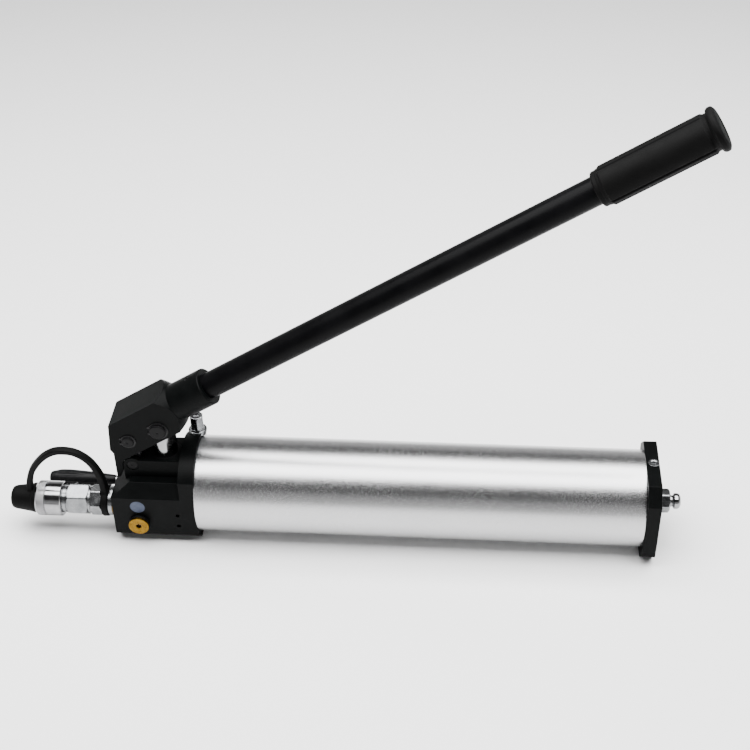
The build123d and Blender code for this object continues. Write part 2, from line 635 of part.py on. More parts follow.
def lever_block():
    """The forked block that carries the two pins and the lever's socket."""
    body = prism_y(lever_block_outline(), TOWER_HALF_WIDTH)
    profile = [
        (0, CONE_END - CONE_REACH), (SOCKET_RADIUS + CONE_REACH, CONE_END - CONE_REACH),
        (SOCKET_RADIUS, CONE_END), (SOCKET_RADIUS, SOCKET_END), (0, SOCKET_END),
    ]
    body &= lever_axis_plane() * revolve(Plane.XZ * Polygon(*profile, align=None), Axis.Z)
    socket = rod_lever(SOCKET_RADIUS, CONE_END - 10, SOCKET_END)
    socket = chamfer(socket.edges().sort_by(Axis.X)[-1], 0.8)
    body += socket
    x0, z0 = lever_point(-90, -80)
    slot = Plane(origin=(x0, 0, z0), x_dir=(DIRECTION[0], 0, DIRECTION[1]), z_dir=(0, -1, 0))
    slot_corner = (Align.MIN, Align.MIN, Align.CENTER)
    slot_box = Box(90 + SLOT_RIGHT, 80 + SLOT_TOP, 2 * SLOT_HALF_WIDTH, align=slot_corner)
    body -= slot * slot_box
    body -= rod_y(LUG_RADIUS + 1.0, -30, 30, *LINK_PIN_XZ)
    body -= rod_y(PIN_1_RADIUS + SEATED, -30, 30, *FULCRUM_PIN_XZ)
    body -= rod_y(PIN_2_RADIUS + SEATED, -30, 30, PLUNGER_X, PLUNGER_PIN_Z)
    body -= rod_lever(LEVER_RADIUS + SEATED, SOCKET_FLOOR, SOCKET_END)
    screw_x, screw_z = lever_point(54, LEVER_RISE)
    bore = Cylinder(3, 40, align=(Align.CENTER, Align.CENTER, Align.MIN))
    return body - Pos(screw_x, 0, screw_z) * Rot(0, -LEVER_ANGLE, 0) * bore


def lever_pins():
    """The two pins through the fork, their spring clips and the socket's grub screw."""
    pin_1 = rod_y(PIN_1_RADIUS, -22.5, 22.5, *FULCRUM_PIN_XZ)
    pin_2 = rod_y(PIN_2_RADIUS, -23.5, 23.5, PLUNGER_X, PLUNGER_PIN_Z)
    clips = []
    for (x, z), radius in ((FULCRUM_PIN_XZ, PIN_1_RADIUS), ((PLUNGER_X, PLUNGER_PIN_Z), PIN_2_RADIUS)):
        for side in (-1, 1):
            y0 = side * (TOWER_HALF_WIDTH + 0.1)
            y1 = y0 + side * 1.1
            groove = rod_y(radius + 2, y0, y1, x, z) - rod_y(radius - 0.7, y0, y1, x, z)
            clip = rod_y(radius + 1.5, y0, y1, x, z) - rod_y(radius - 0.65, y0, y1, x, z)
            gap = block(x - 40, x, min(y0, y1), max(y0, y1), z - 1.6, z + 1.6)
            clips.append(clip - gap)
            if radius == PIN_1_RADIUS:
                pin_1 -= groove
            else:
                pin_2 -= groove
    pin_1 = chamfer(pin_1.edges().sort_by(Axis.Y)[0], 0.7)
    pin_2 = chamfer(pin_2.edges().sort_by(Axis.Y)[0], 0.9)
    return {"fulcrum_pin": pin_1, "plunger_pin": pin_2, "pin_clips": Compound(children=clips)}


def socket_grub_screw():
    """The screw that holds the lever tube in its socket."""
    x, z = lever_point(54, LEVER_RISE)
    body = Cylinder(3 - SEATED, 5.2, align=(Align.CENTER, Align.CENTER, Align.MIN))
    body -= Pos(0, 0, 2.6) * extrude(RegularPolygon(1.7, 6), 3)
    return Pos(x, 0, z) * Rot(0, -LEVER_ANGLE, 0) * Pos(0, 0, LEVER_RADIUS + 0.1) * body


def lever_tube():
    """The steel tube of the lever."""
    end = GRIP_END - GRIP_END_WALL
    tube = rod_lever(LEVER_RADIUS, SOCKET_FLOOR + 0.2, end)
    return tube - rod_lever(LEVER_RADIUS - LEVER_WALL, SOCKET_FLOOR + 0.2, end)


def lever_grip():
    """The ribbed rubber grip with an end flange."""
    bead = GRIP_END - GRIP_FLANGE_LENGTH
    profile = [
        (0, GRIP_START), (15.6, GRIP_START), (16.5, GRIP_START + 1.2), (16.5, GRIP_START + 5),
        (GRIP_RADIUS, GRIP_START + 7), (GRIP_RADIUS, bead), (GRIP_FLANGE_RADIUS - 0.8, bead + 0.8),
        (GRIP_FLANGE_RADIUS, bead + 3), (GRIP_FLANGE_RADIUS - 1.2, GRIP_END - 1.6),
        (GRIP_FLANGE_RADIUS - 4.5, GRIP_END), (0, GRIP_END),
    ]
    grip = revolve(Plane.XZ * Polygon(*profile, align=None), Axis.Z)
    rib_start = GRIP_START + GRIP_PLAIN_END
    rib_end = bead - GRIP_PLAIN_END
    rib = Pos(GRIP_RADIUS, 0, (rib_start + rib_end) / 2)
    rib *= Box(2 * (GRIP_RIB_RADIUS - GRIP_RADIUS), GRIP_RIB_WIDTH, rib_end - rib_start)
    for step in range(GRIP_RIBS):
        grip += Rot(0, 0, 360 * step / GRIP_RIBS) * rib
    bore_end = GRIP_END - GRIP_END_WALL
    bore = Cylinder(LEVER_RADIUS + SEATED, bore_end - GRIP_START)
    return lever_axis_plane() * (grip - Pos(0, 0, (GRIP_START + bore_end) / 2) * bore)


def all_parts():
    """Every node of the pump by name."""
    parts = {
        "pump_head": pump_head(),
        "reservoir_tube": reservoir_tube(),
        "end_cap": end_cap(),
        "head_o_ring": ring_x(44.2, 1.72, FACE_X + 7, z=AXIS_Z),
        "cap_o_ring": ring_x(44.2, 1.72, TUBE_END_X - 7, z=AXIS_Z),
        "tie_rod": tie_rod(),
        "end_nut": end_nut(),
        "end_washer": end_washer(),
        "vent_cap": vent_cap(),
        "cap_screw": cap_screw(),
        "link_pin": rod_y(LINK_PIN_RADIUS, -19.2, 19.2, *LINK_PIN_XZ),
        "plunger_rod": plunger(),
        "piston_ring": piston_ring(),
        "dust_cap": dust_cap(),
        "cap_strap": cap_strap(),
        "fulcrum_link": fulcrum_link(),
        "lever_block": lever_block(),
        "socket_grub_screw": socket_grub_screw(),
        "lever_tube": lever_tube(),
        "lever_grip": lever_grip(),
    }
    for group in (
        suction_pieces, gland_pieces, outlet_pieces, release_pieces, relief_pieces,
        filler_pieces, lever_pins,
    ):
        parts.update(group())
    return parts


os.makedirs("parts", exist_ok=True)
for name, solid in all_parts().items():
    export_step(solid, f"parts/{name}.step")
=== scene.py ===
import json
import math

import bmesh
import bpy
from mathutils import Matrix, Vector


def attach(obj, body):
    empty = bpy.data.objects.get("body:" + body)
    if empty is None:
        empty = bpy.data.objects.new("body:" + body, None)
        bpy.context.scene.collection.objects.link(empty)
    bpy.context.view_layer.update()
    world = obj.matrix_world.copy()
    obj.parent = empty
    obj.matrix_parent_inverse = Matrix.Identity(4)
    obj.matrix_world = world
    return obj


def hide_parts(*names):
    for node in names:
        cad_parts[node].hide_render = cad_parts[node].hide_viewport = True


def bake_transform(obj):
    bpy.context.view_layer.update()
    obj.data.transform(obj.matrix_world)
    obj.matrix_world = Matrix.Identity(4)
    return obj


MM = 0.001
TAU = 2 * math.pi
X, Y, Z = range(3)
LEFT = (-1, 0, 0)
RIGHT = (1, 0, 0)
FRONT = (0, -1, 0)
UP = (0, 0, 1)

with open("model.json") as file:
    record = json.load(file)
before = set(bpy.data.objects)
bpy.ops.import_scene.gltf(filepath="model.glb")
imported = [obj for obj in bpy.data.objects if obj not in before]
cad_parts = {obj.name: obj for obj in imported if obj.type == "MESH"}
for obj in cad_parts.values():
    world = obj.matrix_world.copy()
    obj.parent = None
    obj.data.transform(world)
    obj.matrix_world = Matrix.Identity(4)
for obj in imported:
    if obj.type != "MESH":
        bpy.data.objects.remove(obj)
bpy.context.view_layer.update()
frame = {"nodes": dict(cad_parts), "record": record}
NODES = frame["nodes"]


# --- shading helpers --------------------------------------------------------------------

NOISE_LOW = 0.25                 # most of a noise texture's values lie between these two
NOISE_HIGH = 0.75
ACROSS_MARKS = 2.0               # how often per metre turning marks change across their axis

# The mix node's sockets for colours. It has others of the same names for numbers and vectors.
MIX_AMOUNT = 0
MIX_FIRST = 6
MIX_SECOND = 7
MIX_RESULT = 2


class Shader:
    """A node material being built: one Principled shader and what feeds it. The base colour and
    roughness given at the start hold until colour() and roughness() put a texture in their place."""

    def __init__(self, name, base, metallic=0.0, roughness=0.5, fixed=None):
        self.material = bpy.data.materials.new(name)
        self.material.use_nodes = True
        self.tree = self.material.node_tree
        self.surface = self.tree.nodes["Principled BSDF"]
        self.set(self.surface, "Base Color", (*base, 1))
        self.set(self.surface, "Metallic", metallic)
        self.set(self.surface, "Roughness", roughness)
        for socket, value in (fixed or {}).items():
            self.set(self.surface, socket, value)
        self.place = self.add("ShaderNodeTexCoord").outputs["Object"]

    def add(self, kind, **settings):
        """Adds a node and sets its plain properties."""
        node = self.tree.nodes.new(kind)
        for key, value in settings.items():
            setattr(node, key, value)
        return node

    def set(self, node, socket, value):
        """Sets a socket to a value, or links it to an output."""
        if isinstance(value, bpy.types.NodeSocket):
            self.tree.links.new(value, node.inputs[socket])
        else:
            node.inputs[socket].default_value = value

    def stretched(self, scale):
        """Object coordinates multiplied along each axis."""
        node = self.add("ShaderNodeMapping")
        self.set(node, "Vector", self.place)
        self.set(node, "Scale", scale)
        return node.outputs["Vector"]

    def noise(self, scale, detail=3.0, rough=0.5, where=None):
        """Noise from 0 to 1. The scale is in features per metre."""
        node = self.add("ShaderNodeTexNoise")
        self.set(node, "Vector", where or self.place)
        self.set(node, "Scale", scale)
        self.set(node, "Detail", detail)
        self.set(node, "Roughness", rough)
        return node.outputs["Fac"]

    def ramp(self, value, low, high, start=0.0, end=1.0):
        """Maps low..high to start..end, with no overshoot."""
        node = self.add("ShaderNodeMapRange")
        self.set(node, "Value", value)
        self.set(node, "From Min", low)
        self.set(node, "From Max", high)
        self.set(node, "To Min", start)
        self.set(node, "To Max", end)
        return node.outputs["Result"]

    def maths(self, operation, first, second):
        """One arithmetic node."""
        node = self.add("ShaderNodeMath", operation=operation)
        self.set(node, 0, first)
        self.set(node, 1, second)
        return node.outputs[0]

    def weighed(self, first, second, share):
        """A sum of two values, with that share of the first and the rest of the second."""
        main = self.maths("MULTIPLY", first, share)
        rest = self.maths("MULTIPLY", second, 1 - share)
        return self.maths("ADD", main, rest)

    def tint(self, amount, first, second):
        """A mix of two colours by a 0..1 value."""
        node = self.add("ShaderNodeMix", data_type="RGBA")
        self.set(node, MIX_AMOUNT, amount)
        self.set(node, MIX_FIRST, (*first, 1))
        self.set(node, MIX_SECOND, (*second, 1))
        return node.outputs[MIX_RESULT]

    def colour(self, amount, first, second):
        """Makes the base colour a mix of two by a 0..1 value."""
        self.set(self.surface, "Base Color", self.tint(amount, first, second))

    def roughness(self, amount, low, high):
        """Makes the roughness follow a noise, from low to high."""
        self.set(self.surface, "Roughness", self.ramp(amount, NOISE_LOW, NOISE_HIGH, low, high))

    def bump(self, height, distance):
        """Adds a relief of that height, in metres, over what is there already."""
        node = self.add("ShaderNodeBump")
        self.set(node, "Height", height)
        self.set(node, "Distance", distance)
        self.set(node, "Strength", 1.0)
        before = self.surface.inputs["Normal"].links
        if before:
            self.set(node, "Normal", before[0].from_socket)
        self.set(self.surface, "Normal", node.outputs["Normal"])


def turning_marks(shader, axis, pitch):
    """Fine rings round an axis, as a lathe leaves them: noise that hardly varies across the axis."""
    scale = [ACROSS_MARKS] * 3
    scale[axis] = 1.0 / pitch
    return shader.noise(1.0, detail=2.0, rough=0.6, where=shader.stretched(tuple(scale)))


def black_anodised():
    """Machined aluminium under hard black anodising, with faint cutter marks and handling."""
    s = Shader("black_anodised", (0.004, 0.0045, 0.0045), 0.0, 0.42, {"Specular IOR Level": 0.04})
    cloud = s.noise(38, detail=4, rough=0.6)
    fine = s.noise(900, detail=3, rough=0.7)
    s.colour(s.ramp(cloud, 0.3, 0.8), (0.0007, 0.0009, 0.0009), (0.0022, 0.0026, 0.0026))
    s.roughness(s.weighed(cloud, fine, 0.6), 0.34, 0.5)
    s.bump(fine, 0.00002)
    s.bump(s.noise(1.0, detail=2, rough=0.6, where=s.stretched((700, 30, 30))), 0.00001)
    return s.material


def satin_aluminium():
    """Blasted and anodised aluminium tube: a bright frosted grain with faint marks along it."""
    s = Shader("satin_aluminium", (0.47, 0.47, 0.475), 1.0, 0.26)
    grain = s.noise(1400, detail=3, rough=0.7)
    drawn = s.noise(1.0, detail=3, rough=0.6, where=s.stretched((4, 420, 420)))
    cloud = s.noise(14, detail=4, rough=0.6)
    speckle = s.weighed(grain, cloud, 0.85)
    s.colour(s.ramp(speckle, 0.36, 0.64), (0.39, 0.39, 0.395), (0.53, 0.53, 0.535))
    s.roughness(speckle, 0.20, 0.31)
    s.bump(grain, 0.00009)
    s.bump(drawn, 0.000012)
    return s.material


def black_paint():
    """Semi-gloss black paint with a slight orange peel."""
    s = Shader("black_paint", (0.004, 0.004, 0.0045), 0.0, 0.38, {"Specular IOR Level": 0.045})
    peel = s.noise(420, detail=2, rough=0.5)
    cloud = s.noise(22, detail=4, rough=0.65)
    s.colour(s.ramp(cloud, 0.35, 0.8), (0.0008, 0.0008, 0.0010), (0.0022, 0.0022, 0.0026))
    s.roughness(cloud, 0.28, 0.42)
    s.bump(peel, 0.00003)
    return s.material


def plated_steel():
    """Bright zinc-plated steel, a little cloudy."""
    s = Shader("plated_steel", (0.74, 0.75, 0.76), 1.0, 0.24)
    cloud = s.noise(120, detail=4, rough=0.6)
    fine = s.noise(1600, detail=2, rough=0.6)
    s.colour(s.ramp(cloud, 0.3, 0.7), (0.15, 0.155, 0.16), (0.27, 0.275, 0.28))
    s.roughness(cloud, 0.17, 0.32)
    s.bump(fine, 0.00001)
    s.bump(turning_marks(s, X, 0.0005), 0.00001)
    return s.material


def polished_steel():
    """Ground and polished steel."""
    s = Shader("polished_steel", (0.80, 0.80, 0.81), 1.0, 0.12)
    cloud = s.noise(90, detail=4, rough=0.6)
    s.colour(s.ramp(cloud, 0.3, 0.7), (0.22, 0.22, 0.225), (0.32, 0.32, 0.325))
    s.roughness(cloud, 0.08, 0.2)
    s.bump(turning_marks(s, Z, 0.0003), 0.000004)
    return s.material


def bare_steel():
    """Machined steel, oiled and slightly dark."""
    s = Shader("bare_steel", (0.46, 0.46, 0.47), 1.0, 0.3)
    cloud = s.noise(150, detail=4, rough=0.65)
    s.colour(s.ramp(cloud, 0.3, 0.75), (0.20, 0.20, 0.205), (0.34, 0.34, 0.345))
    s.roughness(cloud, 0.22, 0.42)
    s.bump(turning_marks(s, Y, 0.0004), 0.00001)
    return s.material


def black_steel():
    """Turned steel with a black oxide skin."""
    s = Shader("black_steel", (0.008, 0.008, 0.009), 0.0, 0.36, {"Specular IOR Level": 0.08})
    cloud = s.noise(260, detail=4, rough=0.6)
    s.colour(s.ramp(cloud, 0.3, 0.7), (0.0012, 0.0012, 0.0014), (0.0032, 0.0032, 0.0035))
    s.roughness(cloud, 0.3, 0.44)
    s.bump(turning_marks(s, Y, 0.0004), 0.00001)
    return s.material


def spring_steel():
    """Oil-tempered spring steel with a dark skin."""
    s = Shader("spring_steel", (0.012, 0.012, 0.013), 0.0, 0.4, {"Specular IOR Level": 0.16})
    cloud = s.noise(300, detail=3, rough=0.6)
    s.colour(s.ramp(cloud, 0.3, 0.7), (0.003, 0.003, 0.0034), (0.009, 0.009, 0.0095))
    s.roughness(cloud, 0.3, 0.48)
    s.bump(cloud, 0.00001)
    return s.material


def brass():
    """Turned brass, a little cloudy, with a fine grain."""
    s = Shader("brass", (0.83, 0.61, 0.25), 1.0, 0.25)
    cloud = s.noise(260, detail=4, rough=0.6)
    s.colour(s.ramp(cloud, 0.3, 0.7), (0.12, 0.062, 0.006), (0.20, 0.11, 0.012))
    s.roughness(cloud, 0.2, 0.36)
    s.bump(s.noise(1400, detail=2, rough=0.6), 0.00001)
    return s.material


def bronze():
    """Cast bearing bronze."""
    s = Shader("bronze", (0.55, 0.36, 0.18), 1.0, 0.35)
    cloud = s.noise(200, detail=4, rough=0.6)
    s.colour(s.ramp(cloud, 0.3, 0.7), (0.45, 0.28, 0.13), (0.62, 0.42, 0.22))
    s.roughness(cloud, 0.28, 0.45)
    s.bump(turning_marks(s, Z, 0.0004), 0.00001)
    return s.material


def rubber(name, base, grain):
    """Moulded rubber with a matt, finely pitted skin."""
    s = Shader(name, base, 0.0, 0.62, {"Specular IOR Level": 0.06})
    cloud = s.noise(60, detail=4, rough=0.6)
    darker = tuple(0.65 * c for c in base)
    lighter = tuple(1.5 * c for c in base)
    s.colour(s.ramp(cloud, 0.3, 0.75), darker, lighter)
    s.roughness(cloud, 0.52, 0.72)
    s.bump(s.noise(grain, detail=3, rough=0.6), 0.00004)
    return s.material


def knob_plastic():
    """Black moulded plastic with a slight sheen."""
    s = Shader("knob_plastic", (0.005, 0.005, 0.0055), 0.0, 0.4, {"Specular IOR Level": 0.1})
    cloud = s.noise(80, detail=3, rough=0.6)
    s.colour(s.ramp(cloud, 0.3, 0.7), (0.0015, 0.0015, 0.0017), (0.0035, 0.0035, 0.004))
    s.roughness(cloud, 0.34, 0.48)
    s.bump(s.noise(1300, detail=2, rough=0.6), 0.00002)
    return s.material


def pale_plug():
    """The bluish matt face of the press-in plug."""
    s = Shader("pale_plug", (0.05, 0.06, 0.09), 0.0, 0.5, {"Specular IOR Level": 0.2})
    cloud = s.noise(180, detail=3, rough=0.6)
    s.colour(s.ramp(cloud, 0.3, 0.7), (0.035, 0.045, 0.075), (0.06, 0.072, 0.11))
    s.roughness(cloud, 0.42, 0.58)
    s.bump(s.noise(1200, detail=2, rough=0.6), 0.00002)
    return s.material


MATERIALS = {
    "black_anodised": black_anodised(),
    "satin_aluminium": satin_aluminium(),
    "black_paint": black_paint(),
    "plated_steel": plated_steel(),
    "polished_steel": polished_steel(),
    "bare_steel": bare_steel(),
    "black_steel": black_steel(),
    "spring_steel": spring_steel(),
    "brass": brass(),
    "bronze": bronze(),
    "seal_rubber": rubber("seal_rubber", (0.002, 0.002, 0.0022), 1500),
    "moulded_rubber": rubber("moulded_rubber", (0.0014, 0.0014, 0.0014), 1100),
    "knob_plastic": knob_plastic(),
    "pale_plug": pale_plug(),
}

SLOT_OF_NODE = {s["node"]: s["material_slot"] for s in frame["record"]["subparts"]}
OWN_MATERIAL = {"port_plug": "pale_plug"}
for node_name, node in NODES.items():
    chosen = OWN_MATERIAL.get(node_name, SLOT_OF_NODE[node_name])
    for material_slot in node.material_slots:
        material_slot.material = MATERIALS[chosen]


# --- turned and moulded pieces ----------------------------------------------------------

SEGMENTS = 144
SMOOTH_ANGLE = math.radians(32)
HEXAGON_CORNER = 0.985           # how far a hexagon's corners reach, against sharp ones
ON_AXIS = 0.001                  # a smaller radius in a profile means a point on the axis
ROUNDING_SHARE = 0.4             # the most of an edge that one rounded corner takes
LEAST_ROUNDING = 0.02
NEARLY_STRAIGHT = math.radians(172)
ROUNDING_STEPS = (0.0, 0.33, 0.67, 1.0)


def axis_frame(origin_mm, direction, turn_degrees=0.0):
    """A matrix whose Z runs along a direction from an origin, turned about it."""
    facing = Vector(direction).to_track_quat("Z", "Y").to_matrix().to_4x4()
    origin = Matrix.Translation(Vector(origin_mm) * MM)
    return origin @ facing @ Matrix.Rotation(math.radians(turn_degrees), 4, "Z")


def softened(profile, radius):
    """The profile with every corner between its ends rounded by up to that radius."""
    result = [profile[0]]
    for before, corner, after in zip(profile, profile[1:], profile[2:]):
        here = Vector(corner[:2])
        back = Vector(before[:2]) - here
        ahead = Vector(after[:2]) - here
        reach = min(radius, ROUNDING_SHARE * back.length, ROUNDING_SHARE * ahead.length)
        if reach < LEAST_ROUNDING or back.angle(ahead) > NEARLY_STRAIGHT:
            result.append(corner)
            continue
        start = here + back.normalized() * reach
        end = here + ahead.normalized() * reach
        for share in ROUNDING_STEPS:
            point = start.lerp(here, share).lerp(here.lerp(end, share), share)
            result.append((point.x, point.y, *corner[2:]))
    result.append(profile[-1])
    return result


def divided(profile, step):
    """The profile with points added so that no two are further apart than the step."""
    result = [profile[0]]
    for start, end in zip(profile, profile[1:]):
        count = max(1, math.ceil((Vector(end[:2]) - Vector(start[:2])).length / step))
        for index in range(1, count):
            point = Vector(start[:2]).lerp(Vector(end[:2]), index / count)
            result.append((point.x, point.y, *start[2:]))
        result.append(end)
    return result


def hexagon_radius(angle, across_flats):
    """Distance from the centre of a hexagon to its outline."""
    from_flat = (angle + math.pi / 6) % (math.pi / 3) - math.pi / 6
    corner = across_flats / math.sqrt(3)
    return min(across_flats / 2 / math.cos(from_flat), HEXAGON_CORNER * corner)


def mesh_piece(name, bm, material, body, nodes):
    """Finishes a mesh as a smooth-shaded piece that rides on a body and stands for CAD nodes."""
    bmesh.ops.recalc_face_normals(bm, faces=bm.faces)
    mesh = bpy.data.meshes.new(name)
    bm.to_mesh(mesh)
    bm.free()
    mesh.shade_smooth()
    mesh.set_sharp_from_angle(angle=SMOOTH_ANGLE)
    mesh.materials.append(MATERIALS[material])
    piece = bpy.data.objects.new(name, mesh)
    bpy.context.scene.collection.objects.link(piece)
    if body:
        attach(piece, body)
    if nodes:
        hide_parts(*nodes)
    return piece


def add_turned(bm, profile, place, relief=None, segments=SEGMENTS):
    """Adds a solid of revolution to a mesh. Profile points are (radius, height) in millimetres,
    with a third number, the width across flats, where the section is a hexagon."""
    closed = profile[0] == profile[-1]
    points = profile[:-1] if closed else profile
    rings = []
    for radius, height, *flats in points:
        if radius < ON_AXIS:
            rings.append([bm.verts.new(place @ Vector((0, 0, height * MM)))])
            continue
        ring = []
        for index in range(segments):
            angle = TAU * index / segments
            reach = radius
            if flats:
                reach = min(reach, hexagon_radius(angle, flats[0]))
            if relief:
                reach = relief(angle, height, reach)
            spot = Vector((reach * math.cos(angle), reach * math.sin(angle), height)) * MM
            ring.append(bm.verts.new(place @ spot))
        rings.append(ring)
    pairs = list(zip(rings, rings[1:]))
    if closed:
        pairs.append((rings[-1], rings[0]))
    for lower, upper in pairs:
        for index in range(segments):
            following = (index + 1) % segments
            corners = [lower[index % len(lower)], lower[following % len(lower)]]
            corners += [upper[following % len(upper)], upper[index % len(upper)]]
            unique = list(dict.fromkeys(corners))
            if len(unique) > 2:
                bm.faces.new(unique)


def turned(name, profile, place, material, body, nodes, corner=0.4, step=None, relief=None):
    """A turned piece standing for CAD nodes."""
    shaped = softened(profile, corner)
    if step:
        shaped = divided(shaped, step)
    bm = bmesh.new()
    add_turned(bm, shaped, place, relief)
    return mesh_piece(name, bm, material, body, nodes)


# --- the hose coupler, measured outwards from the head's left face ----------------------

HEAD_LEFT_X = -44.0
OUTLET_Y = -20.0
OUTLET_Z = 38.5
OUTLET_START = (HEAD_LEFT_X, OUTLET_Y, OUTLET_Z)
OUTLET_PLACE = axis_frame(OUTLET_START, LEFT)
NUT_FLATS = 28
NUT_TURN = -15
BODY_FLATS = 29.8
BODY_TURN = -44
KNURL_START = 73.8
KNURL_END = 81.9
KNURL_LEAST_RADIUS = 18
KNURL_DEPTH = 0.42
KNURL_STEEPNESS = 2.2            # the larger it is, the narrower the grooves
KNURL_TEETH = 44
STEPS_PER_TOOTH = 8


def knurl(angle, height, radius):
    """Crossed grooves round the mouth end of the collar."""
    if not (KNURL_START < height < KNURL_END and radius > KNURL_LEAST_RADIUS):
        return radius
    slope = KNURL_TEETH * (height - KNURL_START) / radius
    one = abs(math.sin(0.5 * (KNURL_TEETH * angle + slope)))
    other = abs(math.sin(0.5 * (KNURL_TEETH * angle - slope)))
    return radius - KNURL_DEPTH * (1 - min(1.0, KNURL_STEEPNESS * min(one, other)))


def make_coupler():
    """The nipple with its nut, the coupler's body, the locking collar and the dust cap."""
    shoulder = [
        (8.5, 2.3), (15.2, 2.3), (15.5, 2.6), (15.5, 6.5), (15.2, 6.8), (8.5, 6.8), (8.5, 2.3),
    ]
    turned("nipple_shoulder", shoulder, OUTLET_PLACE, "plated_steel", "pump_body", None)
    nipple = [
        (0, 2.3), (8.4, 2.3), (8.4, 14.5), (14.0, 14.5, NUT_FLATS), (16.3, 15.8, NUT_FLATS),
        (16.3, 25.0, NUT_FLATS), (14.0, 26.3, NUT_FLATS), (0, 26.3),
    ]
    turned("nipple_and_nut", nipple, axis_frame(OUTLET_START, LEFT, NUT_TURN),
           "plated_steel", "pump_body", ["outlet_nipple"], corner=0.35, step=0.6)
    body = [
        (0, 26.4), (14.0, 26.4), (14.0, 28.5), (14.7, 28.5, BODY_FLATS), (17.2, 30.0, BODY_FLATS),
        (17.2, 49.0, BODY_FLATS), (14.7, 50.5, BODY_FLATS), (13.4, 50.5), (13.4, 51.9),
        (14.2, 51.9), (14.2, 78.7), (9.0, 78.7), (9.0, 30.5), (0, 30.5),
    ]
    turned("coupler_half", body, axis_frame(OUTLET_START, LEFT, BODY_TURN),
           "plated_steel", "pump_body", ["coupler_body"], corner=0.35, step=0.8)
    collar = [
        (14.5, 56.2), (17.2, 56.2), (18.25, 57.2), (18.25, 72.4), (17.5, 72.8), (17.5, 73.4),
        (18.3, KNURL_START), (18.3, KNURL_END), (16.2, 84.1), (14.5, 84.1), (14.5, 56.2),
    ]
    shaped = divided(softened(collar, 0.35), 0.35)
    bm = bmesh.new()
    add_turned(bm, shaped, OUTLET_PLACE, knurl, segments=STEPS_PER_TOOTH * KNURL_TEETH)
    mesh_piece("knurled_collar", bm, "polished_steel", "collar", ["coupler_collar"])
    cap = [
        (0, 79.9), (13.9, 79.9), (13.9, 84.3), (15.6, 84.3), (15.6, 88.0), (15.0, 88.4), (14.9, 90.0),
        (12.4, 107.0), (11.2, 110.0), (8.5, 111.3), (5.2, 111.3), (4.6, 110.6), (0, 110.4),
    ]
    turned("moulded_dust_cap", cap, OUTLET_PLACE, "moulded_rubber", "cap", ["dust_cap"], corner=0.8)


# --- the dust cap's strap ---------------------------------------------------------------

STRAP_LEAN = math.radians(7.5)
STRAP_KNOTS = [
    (-134.2, 13.0), (-132.0, 27.0), (-125.6, 45.0), (-113.5, 62.5), (-101.0, 73.0), (-89.5, 76.3),
    (-76.0, 74.0), (-64.5, 63.5), (-57.8, 47.5), (-54.8, 30.0), (-54.5, 13.0),
]
STRAP_STATIONS = 72
STRAP_SIDES = 24
STRAP_SQUARENESS = 0.45          # 1 makes the section an ellipse, 0 a rectangle
STRAP_HALF_WIDTH = 3.9
STRAP_HALF_THICKNESS = 3.2
STRAP_VOXEL = 0.55
SMOOTHING = 0.6
SMOOTHING_PASSES = 6
JUST_INSIDE = 1e-6


def strap_stations():
    """Centre points along a smooth curve through the strap's knots, in X and height above the
    coupler, each with its share of the way."""
    knots = [Vector(knot) for knot in STRAP_KNOTS]
    points = [2 * knots[0] - knots[1], *knots, 2 * knots[-1] - knots[-2]]
    result = []
    spans = len(points) - 3
    for index in range(STRAP_STATIONS + 1):
        position = min(spans * index / STRAP_STATIONS, spans - JUST_INSIDE)
        span = int(position)
        t = position - span
        a, b, c, d = points[span:span + 4]
        smooth = (b * 2 + (c - a) * t + (a * 2 - b * 5 + c * 4 - d) * t**2
                  + (b * 3 - a - c * 3 + d) * t**3) / 2
        result.append((smooth, index / STRAP_STATIONS))
    return result


def widened(size, share, extra, start):
    """A size that grows evenly by an extra, from a share of the strap's way to its end."""
    return size + extra * max(0.0, share - start) / (1 - start)


def squared_off(value):
    """A sine or cosine pushed outwards, so that a round section becomes nearly rectangular."""
    return math.copysign(abs(value) ** STRAP_SQUARENESS, value)


